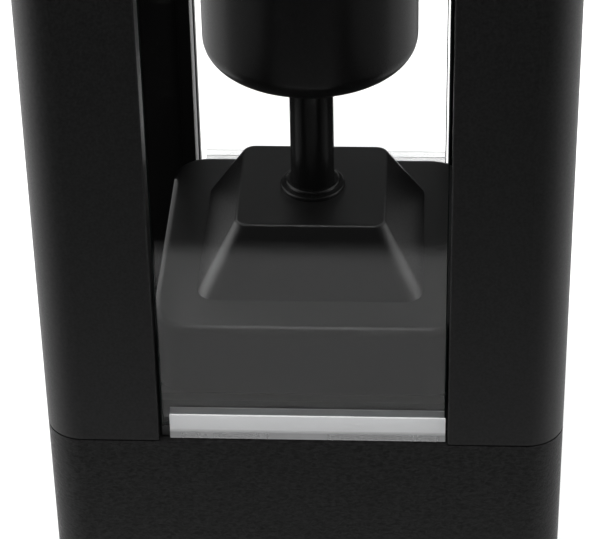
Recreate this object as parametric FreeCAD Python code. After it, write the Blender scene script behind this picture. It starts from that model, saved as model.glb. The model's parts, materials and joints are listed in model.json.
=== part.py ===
import FreeCAD, Part
import math
import os

# Soda carbonator: a square-plan base and head joined by two hollow pillars.
# Between the pillars a bottle stands in a cup on a screw-driven lift post.
# Millimetres, +Z up, front towards -Y, origin on the table under the centre.

os.makedirs("parts", exist_ok=True)

# Outer case
HALF_W = 116.0
HALF_D = 122.0
CORNER_R = 17.5
WALL = 3.0
FOOT_H = 4.0
Z_DECK = 103.6
Z_HEAD = 470.4
Z_COVER = 551.2
Z_TOP = 558.5
GROOVE_H = 0.8
GROOVE_D = 1.2

# Window between the pillars and the chamber behind it
WINDOW_HALF = 64.2
LIP_DEPTH = 11.6
CHAMBER_HALF = 72.4
LIP_Y = HALF_D - LIP_DEPTH
CHAMBER_FRONT = -LIP_Y
CHAMBER_REAR = 92.0
JAMB_X = 70.6
SILL_Y = 104.0
SILL_DROP = 6.0
PAN_FLOOR_Z = 90.0
PLINTH_Z = 94.1

# Pedestal with its pyramid, and the wiper ring on top
PED_HALF_X = 72.0
PED_HALF_Y = 73.4
PED_MID_Y = 0.9
PED_R = 17.0
PED_TOP_Z = 130.6
PYR_BASE_X = 52.7
PYR_BASE_Y = 50.6
PYR_TOP = 34.6
PYR_TOP_Z = 162.2
PED_WALL = 2.5
RING_R = 15.2

# Lift: cup, post, nut, screw
POST_R = 10.2
POST_BORE_R = 7.0
POST_LOW_Z = 98.0
CUP_R = 49.0
CUP_WALL = 4.5
CUP_FLOOR = 3.0
CUP_LOW_Z = 233.9
CUP_H = 66.0
PAD_T = 2.0
BOTTLE_H = 240.0
MOUTH_Z = CUP_LOW_Z + CUP_FLOOR + PAD_T + BOTTLE_H
LIFT_TRAVEL = 58.0
SCREW_R = 4.0
RUNNING = 0.06
GEAR_MODULE = 0.8
SCREW_TEETH = 60
PINION_TEETH = 20
PINION_X = -GEAR_MODULE * (SCREW_TEETH + PINION_TEETH) / 2.0
GEARBOX_X = PINION_X - 7.0

# Doors
PANE_HALF = 63.2
PANE_FRONT_Y = -118.65
PANE_T = 3.2
PANE_LOW_Z = 110.0
PANE_TOP_Z = 464.5
DOOR_PIVOT_X = -60.8
DOOR_PIN_R = 1.2
DOOR_PIVOT_Y = PANE_FRONT_Y + PANE_T / 2.0
SEAL_LEFT = -59.4
SEAL_TOP_Z = 117.75
SEAL_LEG = 0.85
SEAL_WEB = 1.7
REAR_DOOR_SHIFT = 216.0

# Gas side
GAS_X = 93.8
GAS_R = 18.0
GAS_DOOR_HALF = 33.0
GAS_DOOR_Z = (120.0, 368.0)
GAS_PIVOT_X = HALF_W - WALL / 2.0
GAS_PIVOT_Y = GAS_DOOR_HALF - WALL / 2.0

# Controls
BUTTON_Y = -80.0
BUTTON_R = 13.0
SWITCH_X = 60.0
INLET_X = -60.0
REAR_Z = 45.0
SWITCH_PIVOT_Y = 116.5


def vec(x, y, z):
    return FreeCAD.Vector(x, y, z)


def box(x0, x1, y0, y1, z0, z1):
    return Part.makeBox(x1 - x0, y1 - y0, z1 - z0, vec(x0, y0, z0))


def cyl(r, z0, z1, x=0.0, y=0.0):
    return Part.makeCylinder(r, z1 - z0, vec(x, y, z0))


def cyl_x(r, x0, x1, y, z):
    return Part.makeCylinder(r, x1 - x0, vec(x0, y, z), vec(1, 0, 0))


def cyl_y(r, y0, y1, x, z):
    return Part.makeCylinder(r, y1 - y0, vec(x, y0, z), vec(0, 1, 0))


def tube(r_out, r_in, z0, z1, x=0.0, y=0.0):
    return cyl(r_out, z0, z1, x, y).cut(cyl(r_in, z0 - 1.0, z1 + 1.0, x, y))


def fuse(first, *others):
    return first.multiFuse(list(others)).removeSplitter()


def mirrored_x(shape):
    return shape.mirror(vec(0, 0, 0), vec(1, 0, 0))


def at_rear_door(shape):
    return shape.translated(vec(0.0, REAR_DOOR_SHIFT, 0.0))


def edges_along_z(shape, x=None, y=None):
    found = []
    for edge in shape.Edges:
        a, b = edge.Vertexes[0].Point, edge.Vertexes[-1].Point
        upright = math.hypot(a.x - b.x, a.y - b.y) < 1e-6 and abs(a.z - b.z) > 1e-6
        if not upright:
            continue
        if x is not None and abs(a.x - x) > 1e-4:
            continue
        if y is not None and abs(a.y - y) > 1e-4:
            continue
        found.append(edge)
    return found


def edges_at_z(shape, z):
    found = []
    for edge in shape.Edges:
        bounds = edge.BoundBox
        if abs(bounds.ZMin - z) < 1e-4 and abs(bounds.ZMax - z) < 1e-4:
            found.append(edge)
    return found


def rounded(half_x, half_y, r, z0, z1, x=0.0, y=0.0):
    block = box(x - half_x, x + half_x, y - half_y, y + half_y, z0, z1)
    return block.makeFillet(r, edges_along_z(block))


def slab_ring(inset_out, inset_in, z0, z1):
    outer = rounded(HALF_W - inset_out, HALF_D - inset_out, CORNER_R - inset_out, z0, z1)
    inner = rounded(HALF_W - inset_in, HALF_D - inset_in, CORNER_R - inset_in, z0 - 1.0, z1 + 1.0)
    return outer.cut(inner)


def groove(z0):
    return slab_ring(-5.0, GROOVE_D, z0, z0 + GROOVE_H)


def sweep(points, bend_r, r_out, r_in):
    # A round tube along straight runs joined by arcs of one radius.
    edges = []
    start = points[0]
    for i in range(1, len(points) - 1):
        corner = points[i]
        to_prev = (points[i - 1] - corner).normalize()
        to_next = (points[i + 1] - corner).normalize()
        half = to_prev.getAngle(to_next) / 2.0
        reach = bend_r / math.tan(half)
        bisector = (to_prev + to_next).normalize()
        centre = corner + bisector * (bend_r / math.sin(half))
        first = corner + to_prev * reach
        last = corner + to_next * reach
        middle = centre - bisector * bend_r
        edges.append(Part.makeLine(start, first))
        edges.append(Part.Arc(first, middle, last).toShape())
        start = last
    edges.append(Part.makeLine(start, points[-1]))
    path = Part.Wire(edges)
    direction = points[1] - points[0]
    solids = []
    for r in (r_out, r_in):
        circle = Part.Wire([Part.makeCircle(r, points[0], direction)])
        solids.append(path.makePipeShell([circle], True, False))
    return solids[0].cut(solids[1])


def gear(teeth, z0, z1, bore_r, x=0.0, turn=0.0):
    # Straight-flanked spur teeth, thinned for backlash.
    pitch_r = GEAR_MODULE * teeth / 2.0
    root_r = pitch_r - 1.30 * GEAR_MODULE
    tip_r = pitch_r + 0.85 * GEAR_MODULE
    step = 2.0 * math.pi / teeth
    points = []
    for i in range(teeth):
        middle = i * step + turn
        for share, r in ((-0.34, root_r), (-0.12, tip_r), (0.12, tip_r), (0.34, root_r)):
            angle = middle + share * step
            points.append(vec(x + r * math.cos(angle), r * math.sin(angle), z0))
    points.append(points[0])
    face = Part.Face(Part.makePolygon(points))
    return face.extrude(vec(0, 0, z1 - z0)).cut(cyl(bore_r, z0 - 1.0, z1 + 1.0, x))


def prism_x(profile, x0, x1):
    # A closed (y, z) outline drawn out along X.
    points = [vec(x0, y, z) for y, z in profile]
    points.append(points[0])
    return Part.Face(Part.makePolygon(points)).extrude(vec(x1 - x0, 0, 0))


def frustum(half_x0, half_y0, r0, z0, half_x1, half_y1, r1, z1):
    # A rounded-corner pyramid between two levels.
    wires = []
    for half_x, half_y, r, z in ((half_x0, half_y0, r0, z0), (half_x1, half_y1, r1, z1)):
        plate = rounded(half_x, half_y, r, z, z + 1.0)
        low = min(plate.Faces, key=lambda f: f.CenterOfMass.z)
        wires.append(low.OuterWire)
    return Part.makeLoft(wires, True, True)


def group(solids):
    return Part.makeCompound(solids)


def corners(x, y):
    return [(sx * x, sy * y) for sx in (-1, 1) for sy in (-1, 1)]


# ---------------------------------------------------------------- base

def base_shell():
    wall = slab_ring(0.0, WALL, FOOT_H, Z_DECK)
    deck = rounded(HALF_W - 1.0, HALF_D - 1.0, CORNER_R - 1.0, Z_DECK - WALL, Z_DECK)
    well = box(-CHAMBER_HALF, CHAMBER_HALF, CHAMBER_FRONT, CHAMBER_REAR, Z_DECK - 10.0, Z_DECK + 1.0)
    shell = fuse(wall, deck.cut(well))
    bosses = [cyl(5.0, FOOT_H + WALL, Z_DECK - 1.0, x, y) for x, y in corners(103.0, 76.0)]
    shell = fuse(shell, *bosses)
    for x, y in corners(103.0, 76.0):
        shell = shell.cut(cyl(1.6, FOOT_H, FOOT_H + 19.0, x, y))
    for x, y in corners(102.0, 107.0):
        shell = shell.cut(cyl(3.3, Z_DECK - 10.0, Z_DECK + 1.0, x, y))
    hole = cyl(DOOR_PIN_R + RUNNING, Z_DECK - 10.0, Z_DECK + 1.0, DOOR_PIVOT_X, DOOR_PIVOT_Y)
    shell = shell.cut(hole).cut(at_rear_door(hole))
    for x in (SWITCH_X, INLET_X):
        shell = shell.cut(box(x - 11.2, x + 11.2, 110.0, 125.0, REAR_Z - 9.2, REAR_Z + 9.2))
    return sloped_sill(shell)


def sloped_sill(shell):
    """Behind the rear door the deck thickens and runs down towards the back."""
    thick = box(-WINDOW_HALF, WINDOW_HALF, SILL_Y - 3.0, HALF_D - 1.0, Z_DECK - SILL_DROP - WALL, Z_DECK)
    outside = HALF_D + 1.0
    low = Z_DECK - SILL_DROP * (outside - SILL_Y) / (HALF_D - SILL_Y)
    wedge = prism_x([(SILL_Y, Z_DECK), (outside, Z_DECK), (outside, low)], -WINDOW_HALF, WINDOW_HALF)
    return fuse(shell, thick).cut(wedge)


def base_plate():
    inset = WALL + 0.2
    plate = rounded(HALF_W - inset, HALF_D - inset, CORNER_R - inset, FOOT_H, FOOT_H + 2.8)
    for x, y in corners(103.0, 76.0):
        plate = plate.cut(cyl(1.9, 0.0, 20.0, x, y))
        plate = plate.cut(cyl(4.0, 0.0, FOOT_H + 1.6, x, y))
    for side in (-1, 1):
        for i in range(7):
            y = -36.0 + 12.0 * i
            plate = plate.cut(box(side * 80.0 - 10.0, side * 80.0 + 10.0, y - 2.5, y + 2.5, 0.0, 20.0))
    return plate


def base_screws():
    screws = []
    for x, y in corners(103.0, 76.0):
        head = cyl(3.6, FOOT_H + 0.1, FOOT_H + 1.6, x, y)
        socket = cyl(1.4, FOOT_H - 1.0, FOOT_H + 1.0, x, y)
        screws.append(fuse(head, cyl(1.6, FOOT_H + 1.6, FOOT_H + 16.0, x, y)).cut(socket))
    return group(screws)


def feet():
    pads = []
    for x, y in corners(88.0, 94.0):
        pad = cyl(11.0, 0.0, FOOT_H, x, y)
        pads.append(pad.makeFillet(1.0, edges_at_z(pad, 0.0)))
    return group(pads)


def chamber_pan():
    flange = box(-80.0, 80.0, -118.6, SILL_Y - 3.4, Z_DECK - WALL - 2.0, Z_DECK - WALL)
    half, front, rear = CHAMBER_HALF, CHAMBER_FRONT, CHAMBER_REAR
    tub = box(-half - 2.0, half + 2.0, front - 2.0, rear + 2.0, PAN_FLOOR_Z - 2.0, Z_DECK - WALL)
    hollow = box(-half, half, front, rear, PAN_FLOOR_Z, Z_DECK)
    plinth_y = PED_HALF_Y + 1.0
    plinth = box(-CHAMBER_HALF, CHAMBER_HALF, -plinth_y, plinth_y, PAN_FLOOR_Z - 2.0, PLINTH_Z)
    under = box(-68.0, 68.0, 2.0 - plinth_y, plinth_y - 2.0, PAN_FLOOR_Z - 3.0, PLINTH_Z - 2.5)
    middle = vec(0.0, PED_MID_Y, 0.0)
    pan = fuse(fuse(flange, tub).cut(hollow), plinth.translated(middle)).cut(under.translated(middle))
    return pan.cut(cyl(18.2, PAN_FLOOR_Z - 5.0, Z_DECK))


# ---------------------------------------------------------------- pedestal and guide

def pedestal_outline(grow, z_low, z_step, z_top):
    half_x, half_y = PED_HALF_X - grow, PED_HALF_Y - grow
    block = rounded(half_x, half_y, PED_R - grow, z_low, z_step, 0.0, PED_MID_Y)
    block = block.makeFillet(3.5 - 0.5 * grow, edges_at_z(block, z_step))
    slope = frustum(
        PYR_BASE_X - grow, PYR_BASE_Y - grow, 9.0, z_step - 0.5,
        PYR_TOP - grow, PYR_TOP - grow, 6.0, z_top,
    )
    return block, slope


def pedestal_cover():
    block, slope = pedestal_outline(0.0, PLINTH_Z, PED_TOP_Z, PYR_TOP_Z)
    outer = fuse(block, slope.makeFillet(1.8, edges_at_z(slope, PYR_TOP_Z)))
    step = PED_TOP_Z - PED_WALL
    block, slope = pedestal_outline(PED_WALL, PLINTH_Z - 1.0, step, PYR_TOP_Z - PED_WALL)
    cover = outer.cut(block).cut(slope)
    return cover.cut(cyl(12.5, PYR_TOP_Z - 10.0, PYR_TOP_Z + 5.0))


def wiper_ring():
    flange = cyl(RING_R, PYR_TOP_Z, PYR_TOP_Z + 2.0)
    flange = flange.makeFillet(0.9, edges_at_z(flange, PYR_TOP_Z + 2.0))
    bead = cyl(12.9, PYR_TOP_Z, PYR_TOP_Z + 3.9)
    bead = bead.makeFillet(1.3, edges_at_z(bead, PYR_TOP_Z + 3.9))
    spigot = cyl(12.4, PYR_TOP_Z - 5.0, PYR_TOP_Z)
    ring = fuse(flange, bead, spigot)
    return ring.cut(cyl(POST_R + RUNNING, PYR_TOP_Z - 6.0, PYR_TOP_Z + 6.0))


def guide_tube():
    body = fuse(cyl(18.0, 36.0, 118.0), cyl(27.0, PLINTH_Z, PLINTH_Z + 3.0))
    body = body.cut(cyl(13.6, 35.0, 106.0))
    body = body.cut(cyl(POST_R + RUNNING, 100.0, 120.0))
    body = body.cut(box(-2.1, 2.1, 5.0, 20.0, 35.0, 106.0))
    for x, y in corners(16.0, 16.0):
        body = body.cut(cyl(1.7, PLINTH_Z - 1.0, PLINTH_Z + 4.0, x, y))
    return body


# ---------------------------------------------------------------- lift

def lift_post():
    return tube(POST_R, POST_BORE_R, POST_LOW_Z, CUP_LOW_Z)


def post_foot():
    collar = cyl(13.2, POST_LOW_Z, POST_LOW_Z + 6.0)
    ear = box(-2.0, 2.0, 11.0, 17.0, POST_LOW_Z, POST_LOW_Z + 6.0)
    return fuse(collar, ear).cut(cyl(POST_R + 0.02, POST_LOW_Z - 1.0, POST_LOW_Z + 7.0))


def lift_nut():
    return tube(POST_BORE_R - 0.02, SCREW_R + RUNNING, POST_LOW_Z + 1.0, POST_LOW_Z + 15.0)


def bottle_cup():
    body = cyl(CUP_R, CUP_LOW_Z, CUP_LOW_Z + CUP_H)
    body = body.makeFillet(11.3, edges_at_z(body, CUP_LOW_Z))
    floor_z = CUP_LOW_Z + CUP_FLOOR
    hollow = cyl(CUP_R - CUP_WALL, floor_z, CUP_LOW_Z + CUP_H + 1.0)
    hollow = hollow.makeFillet(6.0, edges_at_z(hollow, floor_z))
    cup = body.cut(hollow)
    return cup.makeFillet(1.5, edges_at_z(cup, CUP_LOW_Z + CUP_H))


def cup_pad():
    floor_z = CUP_LOW_Z + CUP_FLOOR
    pad = cyl(CUP_R - CUP_WALL - 6.5, floor_z, floor_z + PAD_T)
    for r in (12.0, 22.0, 32.0):
        pad = pad.cut(tube(r + 1.0, r - 1.0, floor_z + PAD_T - 0.8, floor_z + PAD_T + 1.0))
    return pad


# ---------------------------------------------------------------- drive

def lead_screw():
    thread = cyl(SCREW_R, 20.5, 128.0)
    thread = thread.makeChamfer(0.8, edges_at_z(thread, 128.0))
    journal = cyl(3.0, 11.0, 20.5)
    return fuse(thread, journal)


def screw_gear():
    hub = tube(8.0, SCREW_R + 0.02, 20.8, 31.0)
    web = gear(SCREW_TEETH, 22.0, 30.0, SCREW_R + 0.02)
    return fuse(web, hub)


def pinion():
    offset = math.pi / PINION_TEETH
    teeth = gear(PINION_TEETH, 21.5, 30.5, 2.9, PINION_X, offset)
    shaft = cyl(3.0, 18.0, 39.5, PINION_X)
    return fuse(teeth, shaft)


def drive_frame():
    low = box(-64.0, 34.0, -30.0, 30.0, FOOT_H + 2.8, 10.0)
    high = box(-64.0, 34.0, -30.0, 30.0, 32.0, 35.0)
    spots = [(-59.0, -25.0), (-59.0, 25.0), (29.5, -25.0), (29.5, 25.0)]
    posts = [cyl(4.0, 10.0, 32.0, x, y) for x, y in spots]
    boss = cyl(8.0, 9.0, 20.0)
    frame = fuse(low, high, boss, *posts)
    frame = frame.cut(cyl(3.0 + RUNNING, 10.5, 21.0))
    frame = frame.cut(cyl(12.0, 31.0, 36.0))
    return frame.cut(cyl(5.0, 31.0, 36.0, PINION_X))


def gearbox():
    case = cyl(18.5, 35.0, 55.0, GEARBOX_X)
    case = case.makeChamfer(0.6, edges_at_z(case, 55.0))
    return case.cut(cyl(3.0 + RUNNING, 34.0, 40.0, PINION_X))


def motor():
    can = cyl(17.5, 55.0, 82.0, GEARBOX_X)
    can = can.makeFillet(1.5, edges_at_z(can, 82.0))
    boss = cyl(5.0, 82.0, 84.0, GEARBOX_X)
    tabs = [box(GEARBOX_X - 1.5, GEARBOX_X + 1.5, s * 11.0 - 0.4, s * 11.0 + 0.4, 81.0, 86.0)
            for s in (-1, 1)]
    return fuse(can, boss, *tabs)


# ---------------------------------------------------------------- pillars

def right_pillar_blank():
    ring = slab_ring(0.0, WALL, Z_DECK, Z_HEAD)
    keep = box(WINDOW_HALF, HALF_W + 5.0, -HALF_D - 5.0, HALF_D + 5.0, Z_DECK - 1.0, Z_HEAD + 1.0)
    skin = ring.common(keep)
    pieces = []
    for sy in (-1, 1):
        y_out, y_in = sy * HALF_D, sy * LIP_Y
        lo, hi = sorted((y_out, y_in))
        pieces.append(box(WINDOW_HALF, WINDOW_HALF + WALL, lo, hi, Z_DECK, Z_HEAD))
        lo, hi = sorted((y_in, y_in + sy * WALL))
        pieces.append(box(WINDOW_HALF, CHAMBER_HALF + 4.0, lo, hi, Z_DECK, Z_HEAD))
    pillar = fuse(skin, *pieces)
    nose = edges_along_z(pillar, x=WINDOW_HALF)
    nose = [e for e in nose if abs(abs(e.Vertexes[0].Point.y) - HALF_D) < 1e-4]
    pillar = pillar.makeFillet(0.9, nose)
    return pillar.cut(groove(Z_DECK)).cut(groove(Z_HEAD - GROOVE_H))


def left_pillar():
    return mirrored_x(right_pillar_blank())


def right_pillar():
    pillar = right_pillar_blank()
    z0, z1 = GAS_DOOR_Z
    lugs = []
    for low, high in ((z0 - 6.4, z0 - 0.4), (z1 + 0.4, z1 + 6.4)):
        lugs.append(box(HALF_W - 6.0, HALF_W - 0.5, 28.0, 36.0, low, high))
    pillar = fuse(pillar, *lugs)
    reach = GAS_DOOR_HALF + 0.4
    pillar = pillar.cut(box(HALF_W - 4.0, HALF_W + 5.0, -reach, reach, z0 - 0.4, z1 + 0.4))
    return pillar.cut(cyl(1.05, z0 - 5.0, z1 + 5.0, GAS_PIVOT_X, GAS_PIVOT_Y))


def liner(side):
    panel = box(CHAMBER_HALF, CHAMBER_HALF + 2.0, 0.2 - LIP_Y, LIP_Y - 0.2, Z_DECK, Z_HEAD)
    return panel if side > 0 else mirrored_x(panel)


def rear_jambs():
    post = box(WINDOW_HALF, JAMB_X, CHAMBER_REAR, LIP_Y, Z_DECK, Z_HEAD)
    post = post.makeFillet(0.6, edges_along_z(post, x=JAMB_X, y=CHAMBER_REAR))
    return group([post, mirrored_x(post)])


def tie_rods():
    return group([cyl(3.0, Z_DECK - 8.0, Z_HEAD + 8.0, x, y) for x, y in corners(102.0, 107.0)])


def tie_nuts():
    nuts = []
    for x, y in corners(102.0, 107.0):
        for z in (Z_DECK - WALL - 5.0, Z_HEAD + WALL):
            points = []
            for i in range(7):
                angle = math.radians(60.0 * i)
                points.append(vec(x + 5.7 * math.cos(angle), y + 5.7 * math.sin(angle), z))
            blank = Part.Face(Part.makePolygon(points)).extrude(vec(0, 0, 5.0))
            nuts.append(blank.cut(cyl(3.02, z - 1.0, z + 6.0, x, y)))
    return group(nuts)


# ---------------------------------------------------------------- head

def head_shell():
    wall = slab_ring(0.0, WALL, Z_HEAD, Z_COVER)
    floor = rounded(HALF_W - 1.0, HALF_D - 1.0, CORNER_R - 1.0, Z_HEAD, Z_HEAD + WALL)
    shell = fuse(wall, floor)
    shell = shell.cut(cyl(33.3, Z_HEAD - 1.0, Z_HEAD + 10.0))
    shell = shell.cut(cyl(7.0, Z_HEAD - 1.0, Z_HEAD + 10.0, GAS_X))
    for x, y in corners(102.0, 107.0):
        shell = shell.cut(cyl(3.3, Z_HEAD - 1.0, Z_HEAD + 10.0, x, y))
    hole = cyl(DOOR_PIN_R + RUNNING, Z_HEAD - 1.0, Z_HEAD + 10.0, DOOR_PIVOT_X, DOOR_PIVOT_Y)
    return shell.cut(hole).cut(at_rear_door(hole))


def top_cover():
    cap = rounded(HALF_W, HALF_D, CORNER_R, Z_COVER, Z_TOP)
    cap = cap.makeFillet(3.0, edges_at_z(cap, Z_TOP))
    rim = rounded(HALF_W - WALL - 0.3, HALF_D - WALL - 0.3, CORNER_R - WALL, Z_COVER - 5.0, Z_COVER + 1.0)
    cap = fuse(cap, rim)
    hollow = rounded(HALF_W - 6.0, HALF_D - 6.0, CORNER_R - 6.0, Z_COVER - 6.0, Z_TOP - 3.0)
    cap = cap.cut(hollow).cut(groove(Z_COVER))
    cap = cap.cut(cyl(BUTTON_R + 0.4, Z_TOP - 10.0, Z_TOP + 1.0, 0.0, BUTTON_Y))
    return cap.cut(cyl(2.55, Z_TOP - 10.0, Z_TOP + 1.0, 0.0, BUTTON_Y - 24.0))


def status_light():
    lens = cyl(2.5, Z_TOP - 6.0, Z_TOP, 0.0, BUTTON_Y - 24.0)
    flange = cyl(4.0, Z_TOP - 6.0, Z_TOP - 3.0, 0.0, BUTTON_Y - 24.0)
    return fuse(lens, flange)


def button_holder():
    low, high = 534.0, Z_TOP - 3.0
    holder = cyl(17.5, low, high, 0.0, BUTTON_Y).cut(cyl(15.2, low + 2.0, high + 1.0, 0.0, BUTTON_Y))
    return holder.cut(cyl(4.4, low - 1.0, low + 3.0, 0.0, BUTTON_Y))


def start_button():
    top = Z_TOP + 1.5
    cap = cyl(BUTTON_R, top - 8.0, top, 0.0, BUTTON_Y)
    cap = cap.makeFillet(1.2, edges_at_z(cap, top))
    skirt = cyl(14.8, top - 8.5, top - 5.2, 0.0, BUTTON_Y)
    stem = cyl(4.0, 529.5, top - 7.0, 0.0, BUTTON_Y)
    return fuse(cap, skirt, stem)


def button_spring():
    turns, r, wire = 4.0, 8.0, 0.6
    low, high = 536.0 + wire, Z_TOP - 7.0 - wire
    helix = Part.makeHelix((high - low) / turns, high - low, r)
    circle = Part.Wire([Part.makeCircle(wire, vec(r, 0, 0), vec(0, 1, 0))])
    coil = Part.Wire(helix).makePipeShell([circle], True, True)
    coil.translate(vec(0.0, BUTTON_Y, low))
    return coil


def micro_switch():
    body = box(-10.0, 10.0, BUTTON_Y - 3.2, BUTTON_Y + 3.2, 512.0, 522.0)
    plunger = box(-1.5, 1.5, BUTTON_Y - 1.2, BUTTON_Y + 1.2, 522.0, 526.6)
    arms = [box(s * 14.0 - 5.0, s * 14.0 + 5.0, BUTTON_Y - 3.2, BUTTON_Y + 3.2, 512.0, 515.0)
            for s in (-1, 1)]
    return fuse(body, plunger, *arms)


def switch_stand():
    side_low, side_high = Z_HEAD + WALL, 512.0
    posts = [box(s * 16.5 - 2.0, s * 16.5 + 2.0, BUTTON_Y - 3.2, BUTTON_Y + 3.2, side_low, side_high)
             for s in (-1, 1)]
    foot = box(-22.0, 22.0, BUTTON_Y - 8.0, BUTTON_Y + 8.0, side_low, side_low + 2.0)
    return fuse(foot, *posts)


def nozzle_body():
    bell = cyl(33.0, Z_HEAD - 4.0, 520.0)
    bell = bell.makeFillet(3.0, edges_at_z(bell, 520.0))
    bell = bell.makeFillet(1.0, edges_at_z(bell, Z_HEAD - 4.0))
    flange = cyl(42.0, Z_HEAD + WALL, Z_HEAD + WALL + 3.5)
    barb = cyl_x(3.2, 30.0, 49.0, 0.0, 508.0)
    body = fuse(bell, flange, barb)
    body = body.cut(cyl(25.0, Z_HEAD - 5.0, MOUTH_Z + 3.5))
    body = body.cut(cyl(4.0, MOUTH_Z, 512.0))
    body = body.cut(cyl_x(1.6, 0.0, 50.0, 0.0, 508.0))
    return body.cut(cyl_x(6.0, -34.0, -26.0, 0.0, 500.0))


def bottle_gasket():
    ring = tube(24.7, 12.0, MOUTH_Z, MOUTH_Z + 3.5)
    return ring.cut(tube(19.0, 17.0, MOUTH_Z - 1.0, MOUTH_Z + 0.7))


def gas_nozzle():
    stem = cyl(3.9, 434.0, 507.0)
    tip = Part.makeCone(2.2, 3.9, 3.0, vec(0, 0, 431.0))
    return fuse(stem, tip).cut(cyl(1.4, 430.0, 508.0))


def relief_valve():
    body = cyl_x(5.9, -46.0, -26.5, 0.0, 500.0)
    collar = cyl_x(8.0, -44.0, -34.0, 0.0, 500.0)
    spout = cyl(2.5, 486.0, 496.0, -41.0)
    return fuse(body, collar, spout).cut(cyl(1.4, 485.0, 497.0, -41.0))


# ---------------------------------------------------------------- gas

def cylinder_cradle():
    dish = cyl(18.6, Z_DECK, Z_DECK + 10.0, GAS_X).cut(cyl(17.4, Z_DECK + 2.0, Z_DECK + 11.0, GAS_X))
    plate = box(GAS_X - 17.5, GAS_X + 17.5, -26.0, 26.0, Z_DECK, Z_DECK + 2.0)
    return fuse(dish, plate)


def co2_cylinder():
    r = 17.2
    outline = [
        (0.0, 105.6), (r - 4.0, 105.6), (r, 110.0), (r, 290.0), (r - 2.5, 300.0),
        (r - 8.0, 309.0), (8.0, 313.0), (8.0, 334.0), (0.0, 334.0),
    ]
    points = [vec(GAS_X + x, 0.0, z) for x, z in outline]
    points.append(points[0])
    face = Part.Face(Part.makePolygon(points))
    return face.revolve(vec(GAS_X, 0, 0), vec(0, 0, 1), 360)


def valve_block():
    block = box(GAS_X - 17.0, GAS_X + 17.0, -20.0, 20.0, 322.0, 356.0)
    block = block.makeFillet(2.0, edges_along_z(block))
    block = block.cut(cyl(8.06, 320.0, 335.0, GAS_X))
    return block.cut(cyl(2.0, 334.0, 357.0, GAS_X))


def valve_bracket():
    back = box(CHAMBER_HALF + 2.0, GAS_X - 17.0, -16.0, 16.0, 318.0, 360.0)
    return back


def solenoid_valve():
    base = box(GAS_X - 12.0, GAS_X + 12.0, -12.0, 12.0, 356.0, 372.0)
    coil = box(GAS_X - 15.0, GAS_X + 15.0, -16.0, 16.0, 372.0, 398.0)
    coil = coil.makeFillet(3.0, edges_along_z(coil))
    barb = cyl(3.2, 398.0, 412.0, GAS_X)
    return fuse(base, coil, barb).cut(cyl(1.6, 355.0, 413.0, GAS_X))


def gas_hose():
    points = [vec(GAS_X, 0, 399.0), vec(GAS_X, 0, 508.0), vec(35.0, 0, 508.0)]
    return sweep(points, 32.0, 5.0, 3.22)


def gas_door():
    z0, z1 = GAS_DOOR_Z
    panel = box(HALF_W - WALL, HALF_W, -GAS_DOOR_HALF, GAS_PIVOT_Y, z0, z1)
    knuckle = cyl(WALL / 2.0, z0, z1, GAS_PIVOT_X, GAS_PIVOT_Y)
    door = fuse(panel, knuckle)
    scoop = cyl_y(10.0, -GAS_DOOR_HALF - 1.0, -GAS_DOOR_HALF + 9.0, HALF_W + 8.4, (z0 + z1) / 2.0)
    return door.cut(scoop)


def gas_door_pins():
    z0, z1 = GAS_DOOR_Z
    low = cyl(1.0, z0 - 4.6, z0, GAS_PIVOT_X, GAS_PIVOT_Y)
    high = cyl(1.0, z1, z1 + 4.6, GAS_PIVOT_X, GAS_PIVOT_Y)
    return group([low, high])


# ---------------------------------------------------------------- doors

def door_pane():
    return box(-PANE_HALF, PANE_HALF, PANE_FRONT_Y, PANE_FRONT_Y + PANE_T, PANE_LOW_Z, PANE_TOP_Z)


def door_seal():
    front, back = PANE_FRONT_Y, PANE_FRONT_Y + PANE_T
    top, low = SEAL_TOP_Z, PANE_LOW_Z
    web = low - SEAL_WEB
    foot = Z_DECK + 0.6
    profile = [
        (front - SEAL_LEG, top), (front - SEAL_LEG, web), (front - SEAL_LEG - 0.5, foot),
        (front - 0.5, foot), (front, web), (back + SEAL_LEG, web), (back + SEAL_LEG, top),
        (back, top), (back, low), (front, low), (front, top),
    ]
    return prism_x(profile, SEAL_LEFT, PANE_HALF)


def door_pivots():
    pins = []
    reach = PANE_T / 2.0
    spans = ((Z_DECK + 1.2, PANE_LOW_Z, Z_DECK - 2.6), (PANE_TOP_Z, Z_HEAD - 1.2, Z_HEAD + 2.6))
    for low, high, tip in spans:
        block = box(-63.0, SEAL_LEFT - 0.2, DOOR_PIVOT_Y - reach, DOOR_PIVOT_Y + reach, low, high)
        pin = cyl(DOOR_PIN_R, min(low, tip), max(high, tip), DOOR_PIVOT_X, DOOR_PIVOT_Y)
        pins.append(fuse(block, pin))
    return group(pins)


def door_pull():
    # One clip over the free edge: a finger ridge outside, a pad for the catch inside.
    front, back = PANE_FRONT_Y, PANE_FRONT_Y + PANE_T
    edge = PANE_HALF + 0.6
    sleeve = box(49.0, edge, front - 0.8, back + 1.0, 330.0, 390.0)
    sleeve = sleeve.makeFillet(0.3, edges_along_z(sleeve, x=edge))
    ridge = box(50.0, 57.0, front - 3.3, front, 332.0, 388.0)
    tip = front - 3.3
    rim = [e for e in ridge.Edges if abs(e.BoundBox.YMin - tip) < 1e-4 and e.BoundBox.YLength < 1e-4]
    clip = fuse(sleeve, ridge.makeFillet(1.2, rim))
    return clip.cut(box(0.0, PANE_HALF, front, back, 300.0, 400.0))


def rear_door_pull():
    return at_rear_door(door_pull().mirror(vec(0, DOOR_PIVOT_Y, 0), vec(0, 1, 0)))


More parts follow.
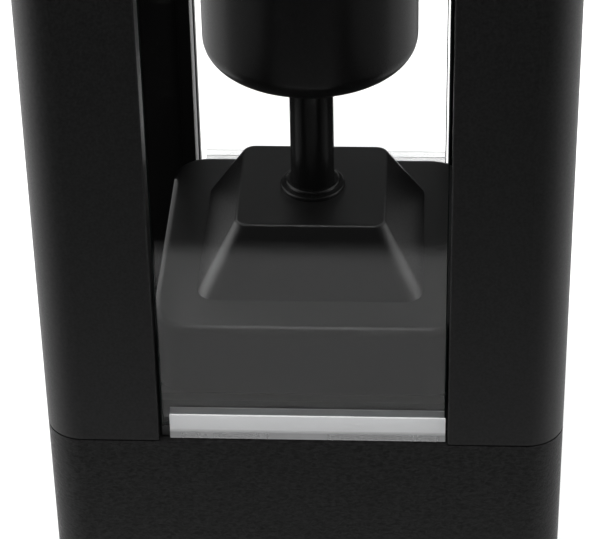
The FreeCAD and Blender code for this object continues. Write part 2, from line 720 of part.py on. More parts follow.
def door_catches():
    x0, x1 = WINDOW_HALF - 5.0, WINDOW_HALF
    front = box(x0, x1, PANE_FRONT_Y + PANE_T + 1.35, CHAMBER_FRONT, 352.0, 368.0)
    rear_face = PANE_FRONT_Y + REAR_DOOR_SHIFT
    rear = box(x0, x1, CHAMBER_REAR, rear_face - 1.35, 352.0, 368.0)
    return group([front, rear])


# ---------------------------------------------------------------- electrics

def power_inlet():
    y_out = HALF_D
    flange = box(INLET_X - 11.0, INLET_X + 11.0, y_out - 2.8, y_out, REAR_Z - 9.0, REAR_Z + 9.0)
    body = box(INLET_X - 10.0, INLET_X + 10.0, y_out - 20.0, y_out - 2.8, REAR_Z - 7.0, REAR_Z + 7.0)
    slot = box(INLET_X - 9.0, INLET_X + 9.0, y_out - 14.0, y_out + 1.0, REAR_Z - 5.2, REAR_Z + 5.2)
    slot = slot.makeFillet(4.5, [e for e in slot.Edges if abs(e.BoundBox.YLength - 15.0) < 1e-4])
    socket = fuse(flange, body).cut(slot)
    pins = [cyl_y(1.2, y_out - 15.0, y_out - 4.0, INLET_X + dx, REAR_Z) for dx in (-4.3, 4.3)]
    return fuse(socket, *pins)


def switch_frame():
    y_out = HALF_D
    flange = box(SWITCH_X - 11.0, SWITCH_X + 11.0, y_out - 2.8, y_out, REAR_Z - 9.0, REAR_Z + 9.0)
    body = box(SWITCH_X - 9.0, SWITCH_X + 9.0, y_out - 20.0, y_out - 2.8, REAR_Z - 8.9, REAR_Z + 8.9)
    well = box(SWITCH_X - 5.0, SWITCH_X + 5.0, y_out - 12.0, y_out + 1.0, REAR_Z - 8.0, REAR_Z + 8.0)
    frame = fuse(flange, body).cut(well)
    return frame.cut(cyl_x(1.56, SWITCH_X - 7.0, SWITCH_X + 7.0, SWITCH_PIVOT_Y, REAR_Z))


def power_switch():
    profile = [
        (SWITCH_PIVOT_Y + 4.1, REAR_Z + 6.8), (SWITCH_PIVOT_Y + 2.7, REAR_Z),
        (SWITCH_PIVOT_Y + 4.1, REAR_Z - 6.8), (SWITCH_PIVOT_Y - 1.0, REAR_Z - 6.2),
        (SWITCH_PIVOT_Y - 3.0, REAR_Z), (SWITCH_PIVOT_Y - 1.0, REAR_Z + 6.2),
    ]
    rocker = prism_x(profile, SWITCH_X - 4.5, SWITCH_X + 4.5)
    axle = cyl_x(1.5, SWITCH_X - 6.4, SWITCH_X + 6.4, SWITCH_PIVOT_Y, REAR_Z)
    rocker = fuse(rocker, axle)
    rocker.rotate(vec(SWITCH_X, SWITCH_PIVOT_Y, REAR_Z), vec(1, 0, 0), 8.0)
    return rocker


def control_board():
    board = box(42.0, 98.0, -100.0, -36.0, 14.0, 15.6)
    spots = [(46.0, -96.0), (94.0, -96.0), (46.0, -40.0), (94.0, -40.0)]
    stands = [cyl(3.0, FOOT_H + 2.8, 14.0, x, y) for x, y in spots]
    chips = [
        box(60.0, 74.0, -76.0, -62.0, 15.6, 18.0),
        box(80.0, 92.0, -60.0, -48.0, 15.6, 28.0),
        box(46.0, 56.0, -88.0, -52.0, 15.6, 24.0),
        cyl(5.0, 15.6, 32.0, 86.0, -86.0),
        cyl(4.0, 15.6, 30.0, 72.0, -90.0),
    ]
    return fuse(board, *stands, *chips)


def power_supply():
    case = box(-98.0, -46.0, 44.0, 98.0, FOOT_H + 2.8, 36.0)
    case = case.makeFillet(2.0, edges_along_z(case))
    for i in range(6):
        x = -90.0 + 7.2 * i
        case = case.cut(box(x, x + 3.0, 52.0, 90.0, 35.0, 37.0))
    return case


NODES = {
    "base_shell": base_shell,
    "base_plate": base_plate,
    "base_screws": base_screws,
    "feet": feet,
    "chamber_pan": chamber_pan,
    "pedestal_cover": pedestal_cover,
    "wiper_ring": wiper_ring,
    "guide_tube": guide_tube,
    "lift_post": lift_post,
    "post_foot": post_foot,
    "lift_nut": lift_nut,
    "bottle_cup": bottle_cup,
    "cup_pad": cup_pad,
    "lead_screw": lead_screw,
    "screw_gear": screw_gear,
    "motor_pinion": pinion,
    "drive_frame": drive_frame,
    "gearbox": gearbox,
    "lift_motor": motor,
    "left_pillar": left_pillar,
    "right_pillar": right_pillar,
    "left_liner": lambda: liner(-1),
    "right_liner": lambda: liner(1),
    "rear_jambs": rear_jambs,
    "tie_rods": tie_rods,
    "tie_nuts": tie_nuts,
    "head_shell": head_shell,
    "top_cover": top_cover,
    "status_light": status_light,
    "button_holder": button_holder,
    "start_button": start_button,
    "button_spring": button_spring,
    "micro_switch": micro_switch,
    "switch_stand": switch_stand,
    "nozzle_body": nozzle_body,
    "bottle_gasket": bottle_gasket,
    "gas_nozzle": gas_nozzle,
    "relief_valve": relief_valve,
    "cylinder_cradle": cylinder_cradle,
    "co2_cylinder": co2_cylinder,
    "valve_block": valve_block,
    "valve_bracket": valve_bracket,
    "solenoid_valve": solenoid_valve,
    "gas_hose": gas_hose,
    "gas_door": gas_door,
    "gas_door_pins": gas_door_pins,
    "front_pane": door_pane,
    "front_seal": door_seal,
    "front_pivots": door_pivots,
    "front_pull": door_pull,
    "rear_pane": lambda: at_rear_door(door_pane()),
    "rear_seal": lambda: at_rear_door(door_seal()),
    "rear_pivots": lambda: at_rear_door(door_pivots()),
    "rear_pull": rear_door_pull,
    "door_catches": door_catches,
    "power_inlet": power_inlet,
    "switch_frame": switch_frame,
    "power_switch": power_switch,
    "control_board": control_board,
    "power_supply": power_supply,
}

for name, make in NODES.items():
    make().exportStep("parts/" + name + ".step")
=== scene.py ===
import json
import math

import bmesh
import bpy
from mathutils import Matrix, Vector


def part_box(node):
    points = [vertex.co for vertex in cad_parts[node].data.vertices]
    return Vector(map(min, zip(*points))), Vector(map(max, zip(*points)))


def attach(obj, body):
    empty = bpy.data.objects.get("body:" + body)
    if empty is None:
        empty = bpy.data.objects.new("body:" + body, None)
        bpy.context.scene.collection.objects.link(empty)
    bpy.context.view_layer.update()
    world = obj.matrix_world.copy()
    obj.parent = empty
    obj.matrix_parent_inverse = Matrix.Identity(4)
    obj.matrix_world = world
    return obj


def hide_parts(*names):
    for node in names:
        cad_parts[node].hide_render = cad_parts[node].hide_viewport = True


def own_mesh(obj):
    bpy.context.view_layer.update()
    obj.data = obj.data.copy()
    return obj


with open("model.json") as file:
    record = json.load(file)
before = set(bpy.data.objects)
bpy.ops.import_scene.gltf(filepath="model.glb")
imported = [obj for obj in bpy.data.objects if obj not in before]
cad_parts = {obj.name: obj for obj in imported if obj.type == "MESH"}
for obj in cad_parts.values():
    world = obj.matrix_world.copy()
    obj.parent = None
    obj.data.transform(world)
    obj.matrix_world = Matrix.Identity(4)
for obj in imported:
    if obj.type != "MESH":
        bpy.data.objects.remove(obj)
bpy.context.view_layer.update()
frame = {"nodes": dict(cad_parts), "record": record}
NODES = frame["nodes"]
SLOT_OF = {s["node"]: s["material_slot"] for s in frame["record"]["subparts"]}

MM = 0.001
HALF_SEAM = 0.4 * MM
base_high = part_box("base_shell")[1]
HALF_D = base_high.y
SEAM_Z = base_high.z + HALF_SEAM

# Edges of the clear sheets and section of the strips gripped on their foot
PANE_CUT = 0.5 * MM
SEAL_GRIP = 7.75 * MM
SEAL_WEB = 1.7 * MM
SEAL_LEG = 0.85 * MM
SEAL_FLARE = 0.5 * MM
SEAL_SOFT = 0.35 * MM
SEAL_END_BEVEL = 0.15 * MM
FRONT_LEG_DROP = 0.8 * MM
BACK_LEG_REACH = 1.5 * MM
LIP_BLEND = 1.0 * MM
LEG_BLEND = 0.3 * MM


# ---------------------------------------------------------------- node helpers

class Tree:
    """A small builder for one material's nodes."""

    def __init__(self, name):
        self.material = bpy.data.materials.new(name)
        self.material.use_nodes = True
        self.nodes = self.material.node_tree.nodes
        self.links = self.material.node_tree.links
        self.nodes.clear()
        self.out = self.nodes.new("ShaderNodeOutputMaterial")
        self.coords = None

    def node(self, kind, **values):
        made = self.nodes.new(kind)
        for key, value in values.items():
            setattr(made, key, value)
        return made

    def link(self, a, b):
        self.links.new(a, b)

    def place(self, scale=(1.0, 1.0, 1.0)):
        if self.coords is None:
            self.coords = self.node("ShaderNodeTexCoord")
        mapping = self.node("ShaderNodeMapping")
        mapping.inputs["Scale"].default_value = scale
        self.link(self.coords.outputs["Object"], mapping.inputs["Vector"])
        return mapping.outputs["Vector"]

    def noise(self, scale, detail=2.0, rough=0.5, stretch=(1.0, 1.0, 1.0), distortion=0.0):
        made = self.node("ShaderNodeTexNoise")
        made.inputs["Scale"].default_value = scale
        made.inputs["Detail"].default_value = detail
        made.inputs["Roughness"].default_value = rough
        made.inputs["Distortion"].default_value = distortion
        self.link(self.place(stretch), made.inputs["Vector"])
        return made.outputs["Fac"]

    def spread(self, value, low, high, start=0.0, end=1.0):
        made = self.node("ShaderNodeMapRange")
        made.inputs["From Min"].default_value = start
        made.inputs["From Max"].default_value = end
        made.inputs["To Min"].default_value = low
        made.inputs["To Max"].default_value = high
        self.link(value, made.inputs["Value"])
        return made.outputs["Result"]

    def two_colours(self, factor, a, b):
        made = self.node("ShaderNodeMix", data_type="RGBA")
        made.inputs["A"].default_value = (*a, 1.0)
        made.inputs["B"].default_value = (*b, 1.0)
        self.link(factor, made.inputs["Factor"])
        return made.outputs["Result"]

    def bump(self, height, depth, before=None):
        made = self.node("ShaderNodeBump")
        made.inputs["Strength"].default_value = 1.0
        made.inputs["Distance"].default_value = depth
        self.link(height, made.inputs["Height"])
        if before is not None:
            self.link(before, made.inputs["Normal"])
        return made.outputs["Normal"]

    def principled(self, **values):
        made = self.node("ShaderNodeBsdfPrincipled")
        for key, value in values.items():
            made.inputs[key.replace("_", " ")].default_value = value
        self.link(made.outputs["BSDF"], self.out.inputs["Surface"])
        return made


def grey(value, warm=0.0):
    return (value * (1.0 + warm), value, value * (1.0 - warm))


def fine_plastic(name, tone, rough, grain=1700.0, depth=0.02, specular=0.2, tint=0.0, mottle=0.12):
    """Moulded plastic with an even spark-eroded grain."""
    t = Tree(name)
    shader = t.principled(Specular_IOR_Level=specular)
    cloud = t.spread(t.noise(grain * 0.5, 2.0), 0.0, 1.0, 0.3, 0.7)
    pale, dark = grey(tone * (1.0 + mottle), tint), grey(tone * (1.0 - mottle), tint)
    t.link(t.two_colours(cloud, dark, pale), shader.inputs["Base Color"])
    speck = t.noise(grain, 2.0, 0.6)
    t.link(t.spread(speck, rough - 0.07, rough + 0.07, 0.3, 0.7), shader.inputs["Roughness"])
    pits = t.bump(speck, depth * MM)
    swell = t.bump(t.noise(grain * 0.3, 1.0), depth * 0.8 * MM, pits)
    t.link(swell, shader.inputs["Normal"])
    return t.material


def leather_plastic(name, tone, rough):
    """Moulded plastic with a coarser grain of short wrinkles."""
    t = Tree(name)
    shader = t.principled(Specular_IOR_Level=0.05)
    wrinkle = t.noise(760.0, 3.0, 0.55, (0.55, 0.55, 1.0), 0.9)
    pebble = t.node("ShaderNodeTexVoronoi", feature="DISTANCE_TO_EDGE")
    pebble.inputs["Scale"].default_value = 620.0
    t.link(t.place((0.7, 0.7, 1.0)), pebble.inputs["Vector"])
    crease = t.spread(pebble.outputs["Distance"], 0.0, 1.0, 0.0, 0.22)
    # The colour follows the wrinkles' height: painted shade darkens their hollows and lightens their crests.
    height = t.spread(wrinkle, 0.0, 1.0, 0.35, 0.65)
    t.link(t.two_colours(height, grey(tone * 0.5), grey(tone * 1.5)), shader.inputs["Base Color"])
    t.link(t.spread(wrinkle, rough - 0.09, rough + 0.09, 0.3, 0.7), shader.inputs["Roughness"])
    folds = t.bump(wrinkle, 0.13 * MM)
    cells = t.bump(crease, 0.02 * MM, folds)
    t.link(t.bump(t.noise(2300.0, 2.0), 0.012 * MM, cells), shader.inputs["Normal"])
    return t.material


def metal(name, colour, rough, stretch=(1.0, 1.0, 12.0), depth=0.004):
    """Drawn or machined metal with fine lines along one way."""
    t = Tree(name)
    shader = t.principled(Metallic=1.0)
    lines = t.noise(900.0, 2.0, 0.6, stretch)
    dark = tuple(0.86 * c for c in colour)
    t.link(t.two_colours(lines, dark, colour), shader.inputs["Base Color"])
    t.link(t.spread(lines, rough - 0.08, rough + 0.08, 0.3, 0.7), shader.inputs["Roughness"])
    t.link(t.bump(lines, depth * MM), shader.inputs["Normal"])
    return t.material


def rubber(name, colour, rough=0.75):
    """Matt rubber, a little dusty."""
    t = Tree(name)
    shader = t.principled(Specular_IOR_Level=0.3)
    dust = t.noise(240.0, 4.0)
    t.link(t.two_colours(dust, tuple(0.8 * c for c in colour), colour), shader.inputs["Base Color"])
    t.link(t.spread(dust, rough - 0.08, rough + 0.08), shader.inputs["Roughness"])
    t.link(t.bump(t.noise(1300.0, 2.0), 0.01 * MM), shader.inputs["Normal"])
    return t.material


def clear_pane(name):
    """Polished clear sheet: lets everything through and mirrors a little."""
    t = Tree(name)
    clear = t.node("ShaderNodeBsdfTransparent")
    cloud = t.noise(28.0, 3.0, 0.5, (1.0, 1.0, 0.35))
    t.link(t.two_colours(cloud, (0.982, 0.984, 0.984), (0.993, 0.994, 0.994)), clear.inputs["Color"])
    mirror = t.principled(Metallic=1.0, Base_Color=(1.0, 1.0, 1.0, 1.0), Roughness=0.0)
    glance = t.node("ShaderNodeFresnel")
    glance.inputs["IOR"].default_value = 1.30
    mix = t.node("ShaderNodeMixShader")
    t.link(glance.outputs["Fac"], mix.inputs["Fac"])
    t.link(clear.outputs["BSDF"], mix.inputs[1])
    t.link(mirror.outputs["BSDF"], mix.inputs[2])
    t.link(mix.outputs["Shader"], t.out.inputs["Surface"])
    return t.material


def cut_edge(name, tone):
    """A ground edge of the clear sheet, faintly green."""
    t = Tree(name)
    shader = t.principled(Specular_IOR_Level=0.03)
    lines = t.noise(900.0, 2.0, 0.5, (1.0, 1.0, 0.1))
    dark, pale = (tuple(share * tone * c for c in (0.78, 1.0, 0.96)) for share in (0.6, 1.4))
    t.link(t.two_colours(lines, dark, pale), shader.inputs["Base Color"])
    t.link(t.spread(lines, 0.35, 0.50), shader.inputs["Roughness"])
    return t.material


def milky_seal(name, clear, lip_clear, lip_z, back_y):
    """Translucent white extrusion, a little cloudy along its length, clearer in its lip.

    Less of the leg behind back_y is translucent, so it scatters more light back.
    """
    t = Tree(name)
    split = t.node("ShaderNodeSeparateXYZ")
    t.link(t.place(), split.inputs["Vector"])
    cloud = t.noise(45.0, 3.0, 0.5, (1.0, 1.0, 0.2))
    white = t.two_colours(cloud, (0.83, 0.835, 0.845), (0.88, 0.885, 0.89))
    skin = t.principled(Roughness=0.35, Specular_IOR_Level=0.5)
    t.link(white, skin.inputs["Base Color"])
    t.link(t.bump(t.noise(500.0, 2.0, 0.5, (0.05, 1.0, 1.0)), 0.01 * MM), skin.inputs["Normal"])
    glow = t.node("ShaderNodeBsdfTranslucent")
    t.link(white, glow.inputs["Color"])
    body = t.node("ShaderNodeMixShader")
    translucent = t.spread(split.outputs["Y"], 0.45, 0.06, back_y - LEG_BLEND, back_y + LEG_BLEND)
    t.link(translucent, body.inputs["Fac"])
    t.link(skin.outputs["BSDF"], body.inputs[1])
    t.link(glow.outputs["BSDF"], body.inputs[2])
    through = t.node("ShaderNodeBsdfTransparent")
    mix = t.node("ShaderNodeMixShader")
    share = t.node("ShaderNodeMath", operation="MULTIPLY")
    by_height = t.spread(split.outputs["Z"], lip_clear, clear, lip_z - LIP_BLEND, lip_z + LIP_BLEND)
    t.link(by_height, share.inputs[0])
    t.link(t.spread(cloud, 0.9, 1.1), share.inputs[1])
    t.link(share.outputs["Value"], mix.inputs["Fac"])
    t.link(body.outputs["Shader"], mix.inputs[1])
    t.link(through.outputs["BSDF"], mix.inputs[2])
    t.link(mix.outputs["Shader"], t.out.inputs["Surface"])
    return t.material


SEAL_BED_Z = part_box("front_seal")[1].z - SEAL_GRIP - SEAL_WEB
FRONT_BACK_LEG_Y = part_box("front_seal")[1].y - BACK_LEG_REACH
REAR_BACK_LEG_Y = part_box("rear_seal")[1].y - BACK_LEG_REACH

MATERIALS = {
    "pillar_black": fine_plastic("pillar_black", 0.0045, 0.48, specular=0.12, mottle=0.45),
    "grained_black": leather_plastic("grained_black", 0.007, 0.42),
    "plain_black": fine_plastic("plain_black", 0.012, 0.50, 900.0),
    "chamber_black": fine_plastic("chamber_black", 0.004, 0.45, specular=0.0),
    "pedestal_black": fine_plastic("pedestal_black", 0.007, 0.36, 1000.0, 0.028, 0.8),
    "ring_black": fine_plastic("ring_black", 0.006, 0.24, 2400.0, 0.005, 0.5),
    "cup_black": fine_plastic("cup_black", 0.004, 0.33, 1700.0, 0.015, 0.2),
    "post_black": fine_plastic("post_black", 0.004, 0.24, 2600.0, 0.005, 0.08),
    "clear_pane": clear_pane("clear_pane"),
    "edge_seal": milky_seal("edge_seal", 0.16, 0.72, SEAL_BED_Z, FRONT_BACK_LEG_Y),
    "foot_rubber": rubber("foot_rubber", (0.02, 0.02, 0.02)),
    "seal_rubber": rubber("seal_rubber", (0.42, 0.42, 0.40), 0.55),
    "zinc_steel": metal("zinc_steel", (0.60, 0.61, 0.63), 0.35),
    "spring_steel": metal("spring_steel", (0.52, 0.52, 0.54), 0.30),
    "button_steel": metal("button_steel", (0.66, 0.66, 0.67), 0.28, (12.0, 1.0, 1.0)),
    "nut_brass": metal("nut_brass", (0.78, 0.60, 0.28), 0.30),
    "bearing_white": fine_plastic("bearing_white", 0.72, 0.45, 900.0, 0.008, tint=0.02),
    "light_lens": fine_plastic("light_lens", 0.78, 0.25, 700.0, 0.004),
    "cylinder_grey": fine_plastic("cylinder_grey", 0.20, 0.32, 500.0, 0.008),
    "valve_aluminium": metal("valve_aluminium", (0.70, 0.71, 0.72), 0.32),
    "hose_grey": rubber("hose_grey", (0.10, 0.10, 0.11), 0.5),
    "board_green": fine_plastic("board_green", 0.06, 0.40, 600.0, 0.01),
}

for name, obj in NODES.items():
    obj.data.materials.clear()
    obj.data.materials.append(MATERIALS[SLOT_OF[name]])
NODES["rear_jambs"].data.materials[0] = fine_plastic("jamb_black", 0.004, 0.35, specular=0.04)
NODES["chamber_pan"].data.materials[0] = fine_plastic("pan_black", 0.006, 0.36, specular=0.8)


# ---------------------------------------------------------------- pieces with finer edges

def solid_piece(name, node, body, verts, faces, looks, look_of=None):
    """A closed mesh shown in place of one CAD node."""
    mesh = bpy.data.meshes.new(name)
    mesh.from_pydata(verts, [], faces)
    for look in looks:
        mesh.materials.append(look)
    work = bmesh.new()
    work.from_mesh(mesh)
    bmesh.ops.recalc_face_normals(work, faces=work.faces)
    for face in work.faces:
        if look_of is not None:
            face.material_index = look_of(face.normal)
    work.to_mesh(mesh)
    work.free()
    obj = bpy.data.objects.new(name, mesh)
    bpy.context.scene.collection.objects.link(obj)
    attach(obj, body)
    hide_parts(node)
    return obj


def drawn_along_x(outline, x0, x1, bevel):
    """A closed (y, z) outline run along X, its ends drawn in by a small bevel."""
    middle_y = sum(y for y, z in outline) / len(outline)
    middle_z = sum(z for y, z in outline) / len(outline)
    count = len(outline)
    verts = []
    for x, inset in ((x0, bevel), (x0 + bevel, 0.0), (x1 - bevel, 0.0), (x1, bevel)):
        for y, z in outline:
            away_y, away_z = y - middle_y, z - middle_z
            reach = max(math.hypot(away_y, away_z), 1e-9)
            verts.append((x, y - inset * away_y / reach, z - inset * away_z / reach))
    faces = [tuple(range(count)), tuple(range(3 * count, 4 * count))]
    for ring in range(3):
        for i in range(count):
            j = (i + 1) % count
            a, b = ring * count, (ring + 1) * count
            faces.append((a + i, a + j, b + j, b + i))
    return verts, faces


def softened(outline, r, steps=3):
    """The outline with each corner replaced by a short arc."""
    soft = []
    count = len(outline)
    for i in range(count):
        here = Vector(outline[i])
        back = Vector(outline[i - 1]) - here
        on = Vector(outline[(i + 1) % count]) - here
        reach = min(r, 0.45 * back.length, 0.45 * on.length)
        start, end = here + back.normalized() * reach, here + on.normalized() * reach
        for k in range(steps + 1):
            share = k / steps
            soft.append(tuple((1 - share) ** 2 * start + 2 * share * (1 - share) * here + share ** 2 * end))
    return soft


def pane_look(normal):
    """Which of a pane's looks a face has: clear, side edge or lower edge with a painted glint."""
    if abs(normal.x) > 0.5:
        return 1
    return 2 if normal.z < -0.5 else 0


def pane(node, body):
    """A clear sheet with narrow ground corners along its upright edges."""
    low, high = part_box(node)
    outline = []
    for x, y, dx, dy in (
        (low.x, low.y, 1, 1), (high.x, low.y, -1, 1), (high.x, high.y, -1, -1), (low.x, high.y, 1, -1),
    ):
        ends = [(x, y + dy * PANE_CUT), (x + dx * PANE_CUT, y)]
        outline += ends if dx == dy else ends[::-1]
    verts = [(x, y, z) for z in (low.z, high.z) for x, y in outline]
    count = len(outline)
    faces = [tuple(range(count)), tuple(range(count, 2 * count))]
    faces += [(i, (i + 1) % count, count + (i + 1) % count, count + i) for i in range(count)]
    looks = [MATERIALS["clear_pane"], SIDE_EDGE, PAINTED_GLINT_EDGE]
    return solid_piece(node + "_sheet", node, body, verts, faces, looks, pane_look)


def seal_look(normal):
    """Which of a seal's looks a face has: side or crest."""
    return 1 if normal.z > 0.7 else 0


def seal(node, body, look, crest):
    """The strip on a sheet's foot: two legs, a web under the sheet and a flared lip."""
    low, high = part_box(node)
    front, back = low.y + SEAL_FLARE + SEAL_LEG, high.y - SEAL_LEG
    front_top = high.z - FRONT_LEG_DROP
    bed = high.z - SEAL_GRIP
    under = bed - SEAL_WEB
    outline = [
        (front - SEAL_LEG, front_top), (front - SEAL_LEG, under), (low.y, low.z), (low.y + SEAL_LEG, low.z),
        (front, under), (high.y, under), (high.y, high.z), (back, high.z),
        (back, bed), (front, bed), (front, front_top),
    ]
    verts, faces = drawn_along_x(softened(outline, SEAL_SOFT), low.x, high.x, SEAL_END_BEVEL)
    return solid_piece(node + "_strip", node, body, verts, faces, [look, crest], seal_look)


SIDE_EDGE = cut_edge("side_edge", 0.012)
# The lower edge's pale tone is a painted glint; the side edges keep the dark tone of a ground edge.
PAINTED_GLINT_EDGE = cut_edge("painted_glint_edge", 0.45)
BACKLIT_SEAL = milky_seal("backlit_seal", 0.86, 0.86, SEAL_BED_Z, REAR_BACK_LEG_Y)
BACKLIT_CREST = milky_seal("backlit_crest", 0.35, 0.35, SEAL_BED_Z, REAR_BACK_LEG_Y)
EDGE_SEAL = MATERIALS["edge_seal"]
for door, look, crest in (("front", EDGE_SEAL, EDGE_SEAL), ("rear", BACKLIT_SEAL, BACKLIT_CREST)):
    pane(door + "_pane", door + "_door")
    seal(door + "_seal", door + "_door", look, crest)


COIL_STEPS, COIL_SIDES = 36, 10
SPRING_TURNS, SPRING_WIRE = 4.0, 0.6 * MM


def coil(node, body, turns, wire):
    """A round wire coil in its node's box."""
    low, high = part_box(node)
    middle = (low + high) / 2.0
    radius = (high.x - low.x) / 2.0 - wire
    rise = high.z - low.z - 2.0 * wire
    rings = int(turns * COIL_STEPS) + 1
    verts = []
    for ring in range(rings):
        angle = 2.0 * math.pi * ring / COIL_STEPS
        z = low.z + wire + rise * ring / (rings - 1)
        for k in range(COIL_SIDES):
            round_wire = 2.0 * math.pi * k / COIL_SIDES
            reach = radius + wire * math.cos(round_wire)
            x, y = middle.x + reach * math.cos(angle), middle.y + reach * math.sin(angle)
            verts.append((x, y, z + wire * math.sin(round_wire)))
    faces = [tuple(range(COIL_SIDES)), tuple(range((rings - 1) * COIL_SIDES, rings * COIL_SIDES))]
    for ring in range(rings - 1):
        a, b = ring * COIL_SIDES, (ring + 1) * COIL_SIDES
        for k in range(COIL_SIDES):
            on = (k + 1) % COIL_SIDES
            faces.append((a + k, a + on, b + on, b + k))
    made = solid_piece(node + "_coil", node, body, verts, faces, [MATERIALS[SLOT_OF[node]]])
    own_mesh(made)
    return made


coil("button_spring", "root", SPRING_TURNS, SPRING_WIRE)


# ---------------------------------------------------------------- stage

def plane(name, x0, x1, y0, y1, z):
    mesh = bpy.data.meshes.new(name)
    mesh.from_pydata([(x0, y0, z), (x1, y0, z), (x1, y1, z), (x0, y1, z)], [], [(0, 1, 2, 3)])
    obj = bpy.data.objects.new(name, mesh)
    bpy.context.scene.collection.objects.link(obj)
    return obj


# The table's colour is darkened in front of the object, a painted shade, and the table ends at TABLE_FRONT.
# The mirror image of that stretch in the front pane is the pale haze that stops part way up.
PAINTED_SHADE_START, PAINTED_SHADE_END = -1.30 * HALF_D, -1.90 * HALF_D
FADE_START, TABLE_FRONT = -3.34 * HALF_D, -3.47 * HALF_D
PAINTED_SHADE = 0.48
TABLE_FADE, TABLE_REACH = 1.0, 1.4


def floor_material():
    """A pale matt table top with painted shade in front, that thins out softly towards its edges."""
    t = Tree("studio_floor")
    shader = t.principled(Roughness=0.9, Specular_IOR_Level=0.1)
    split = t.node("ShaderNodeSeparateXYZ")
    t.link(t.place(), split.inputs["Vector"])
    pale = t.two_colours(t.noise(6.0, 2.0), grey(0.90), grey(0.93))
    # Painted shade: the table's colour is mixed towards black in front of the object.
    painted_shade = t.node("ShaderNodeMix", data_type="RGBA")
    painted_shade.inputs["A"].default_value = (0.0, 0.0, 0.0, 1.0)
    t.link(t.spread(split.outputs["Y"], PAINTED_SHADE, 1.0, PAINTED_SHADE_END, PAINTED_SHADE_START), painted_shade.inputs["Factor"])
    t.link(pale, painted_shade.inputs["B"])
    t.link(painted_shade.outputs["Result"], shader.inputs["Base Color"])
    reach = t.node("ShaderNodeVectorMath", operation="LENGTH")
    t.link(t.place(), reach.inputs[0])
    front = t.spread(split.outputs["Y"], 0.0, 1.0, TABLE_FRONT, FADE_START)
    around = t.spread(reach.outputs["Value"], 1.0, 0.0, TABLE_FADE, TABLE_REACH)
    solid = t.node("ShaderNodeMath", operation="MULTIPLY")
    t.link(front, solid.inputs[0])
    t.link(around, solid.inputs[1])
    mix = t.node("ShaderNodeMixShader")
    t.link(solid.outputs["Value"], mix.inputs["Fac"])
    t.link(t.node("ShaderNodeBsdfTransparent").outputs["BSDF"], mix.inputs[1])
    t.link(shader.outputs["BSDF"], mix.inputs[2])
    t.link(mix.outputs["Shader"], t.out.inputs["Surface"])
    return t.material


floor = plane("floor", -TABLE_REACH, TABLE_REACH, TABLE_FRONT, TABLE_REACH, 0.0)
floor.data.materials.append(floor_material())


def area_light(name, size_x, size_y, power, place, aim):
    data = bpy.data.lights.new(name, "AREA")
    data.shape = "RECTANGLE"
    data.size = size_x
    data.size_y = size_y
    data.energy = power
    obj = bpy.data.objects.new(name, data)
    bpy.context.scene.collection.objects.link(obj)
    place, aim = Vector(place), Vector(aim)
    obj.matrix_world = Matrix.Translation(place) @ (aim - place).to_track_quat("-Z", "Y").to_matrix().to_4x4()
    return obj


# Name, width, height, watts, place and aim of each studio light
MIDDLE = (0.0, 0.0, 0.30)
LIGHTS = (
    ("top_soft", 2.6, 2.6, 80.0, (0.0, 0.5, 2.4), (0.0, 0.35, 0.0)),
    ("back_soft", 3.0, 0.8, 4.0, (0.0, 1.7, 0.42), (0.0, 0.0, 0.20)),
    ("front_soft", 1.6, 0.8, 42.0, (0.0, -1.0, 1.9), MIDDLE),
    ("left_soft", 1.1, 0.8, 28.0, (-1.30, -0.05, 0.42), MIDDLE),
    ("right_soft", 1.1, 0.8, 16.0, (1.30, -0.05, 0.42), MIDDLE),
)
for light in LIGHTS:
    area_light(*light)


# Faint panels just inside the chamber's walls pick out the rounded edges in there.
PANEL_GAP = 1.0 * MM


def chamber_panel(name, side, y_range, z_range, glow, spread):
    """One panel beside a side wall, facing the middle, unseen by the camera."""
    wall_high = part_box("left_liner")[1]
    deep, tall = y_range[1] - y_range[0], z_range[1] - z_range[0]
    place = (side * (-wall_high.x - PANEL_GAP), sum(y_range) / 2.0, sum(z_range) / 2.0)
    aim = (0.0, place[1], place[2])
    panel = area_light(name, deep, tall, math.pi * deep * tall * glow, place, aim)
    panel.data.spread = math.radians(spread)
    panel.visible_camera = False


# Name, reach along y, reach along z, glow and spread in degrees of each panel
PANELS = (
    ("ridge", (-0.064, -0.002), (0.134, 0.174), 0.66, 100.0),
    ("rim", (-0.064, 0.055), (0.122, 0.134), 0.5, 180.0),
    ("slope", (0.000, 0.055), (0.134, 0.165), 0.12, 180.0),
    ("cup", (-0.030, 0.055), (0.185, 0.350), 1.05, 180.0),
    ("cup_front", (-0.095, -0.030), (0.215, 0.350), 0.45, 180.0),
)
for name, side, share in (("left", -1, 1.0), ("right", 1, 0.68)):
    for part, y_range, z_range, glow, spread in PANELS:
        chamber_panel(part + "_" + name, side, y_range, z_range, glow * share, spread)

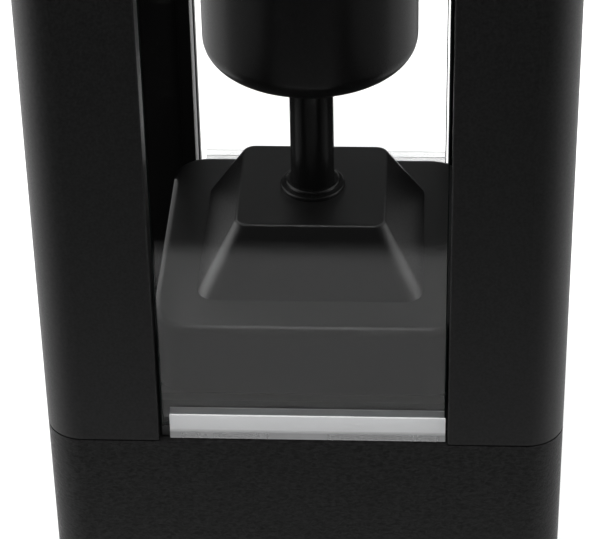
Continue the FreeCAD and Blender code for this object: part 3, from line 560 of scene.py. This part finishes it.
# A narrow strip over the pedestal's front edge draws the light line along it.
edge_strip = area_light("edge_strip", 0.150, 0.012, 0.10, (0.0, -0.095, 0.430), (0.0, -0.072, 0.130))
edge_strip.visible_camera = False

world = bpy.data.worlds.new("studio")
world.use_nodes = True
bpy.context.scene.world = world
wn, wl = world.node_tree.nodes, world.node_tree.links
wn.clear()
seen = wn.new("ShaderNodeBackground")
seen.inputs["Color"].default_value = (1.0, 1.0, 1.0, 1.0)
seen.inputs["Strength"].default_value = 1.0
lit = wn.new("ShaderNodeBackground")
lit.inputs["Color"].default_value = (1.0, 1.0, 1.0, 1.0)
lit.inputs["Strength"].default_value = 0.03
path = wn.new("ShaderNodeLightPath")
pick = wn.new("ShaderNodeMixShader")
world_out = wn.new("ShaderNodeOutputWorld")
wl.new(path.outputs["Is Camera Ray"], pick.inputs["Fac"])
wl.new(lit.outputs["Background"], pick.inputs[1])
wl.new(seen.outputs["Background"], pick.inputs[2])
wl.new(pick.outputs["Shader"], world_out.inputs["Surface"])

# ---------------------------------------------------------------- camera

TURN, TILT, ROLL = math.radians(3.375), math.radians(34.64), math.radians(1.21)
LENS = 159.68
CAMERA_PLACE = Vector((0.0551, -1.0510, 0.7369 + SEAM_Z))
camera_data = bpy.data.cameras.new("camera")
camera_data.sensor_width = 36.0
camera_data.lens = LENS
camera_data.clip_start = 0.05
camera_data.clip_end = 30.0
camera = bpy.data.objects.new("camera", camera_data)
bpy.context.scene.collection.objects.link(camera)
ahead = Vector((-math.sin(TURN) * math.cos(TILT), math.cos(TURN) * math.cos(TILT), -math.sin(TILT)))
side = Vector((math.cos(TURN), math.sin(TURN), 0.0))
down = ahead.cross(side)
right = math.cos(ROLL) * side + math.sin(ROLL) * down
up = math.sin(ROLL) * side - math.cos(ROLL) * down
turn = Matrix((right, up, -ahead)).transposed().to_4x4()
camera.matrix_world = Matrix.Translation(CAMERA_PLACE) @ turn
bpy.context.scene.camera = camera

bpy.context.scene.view_settings.view_transform = "Standard"
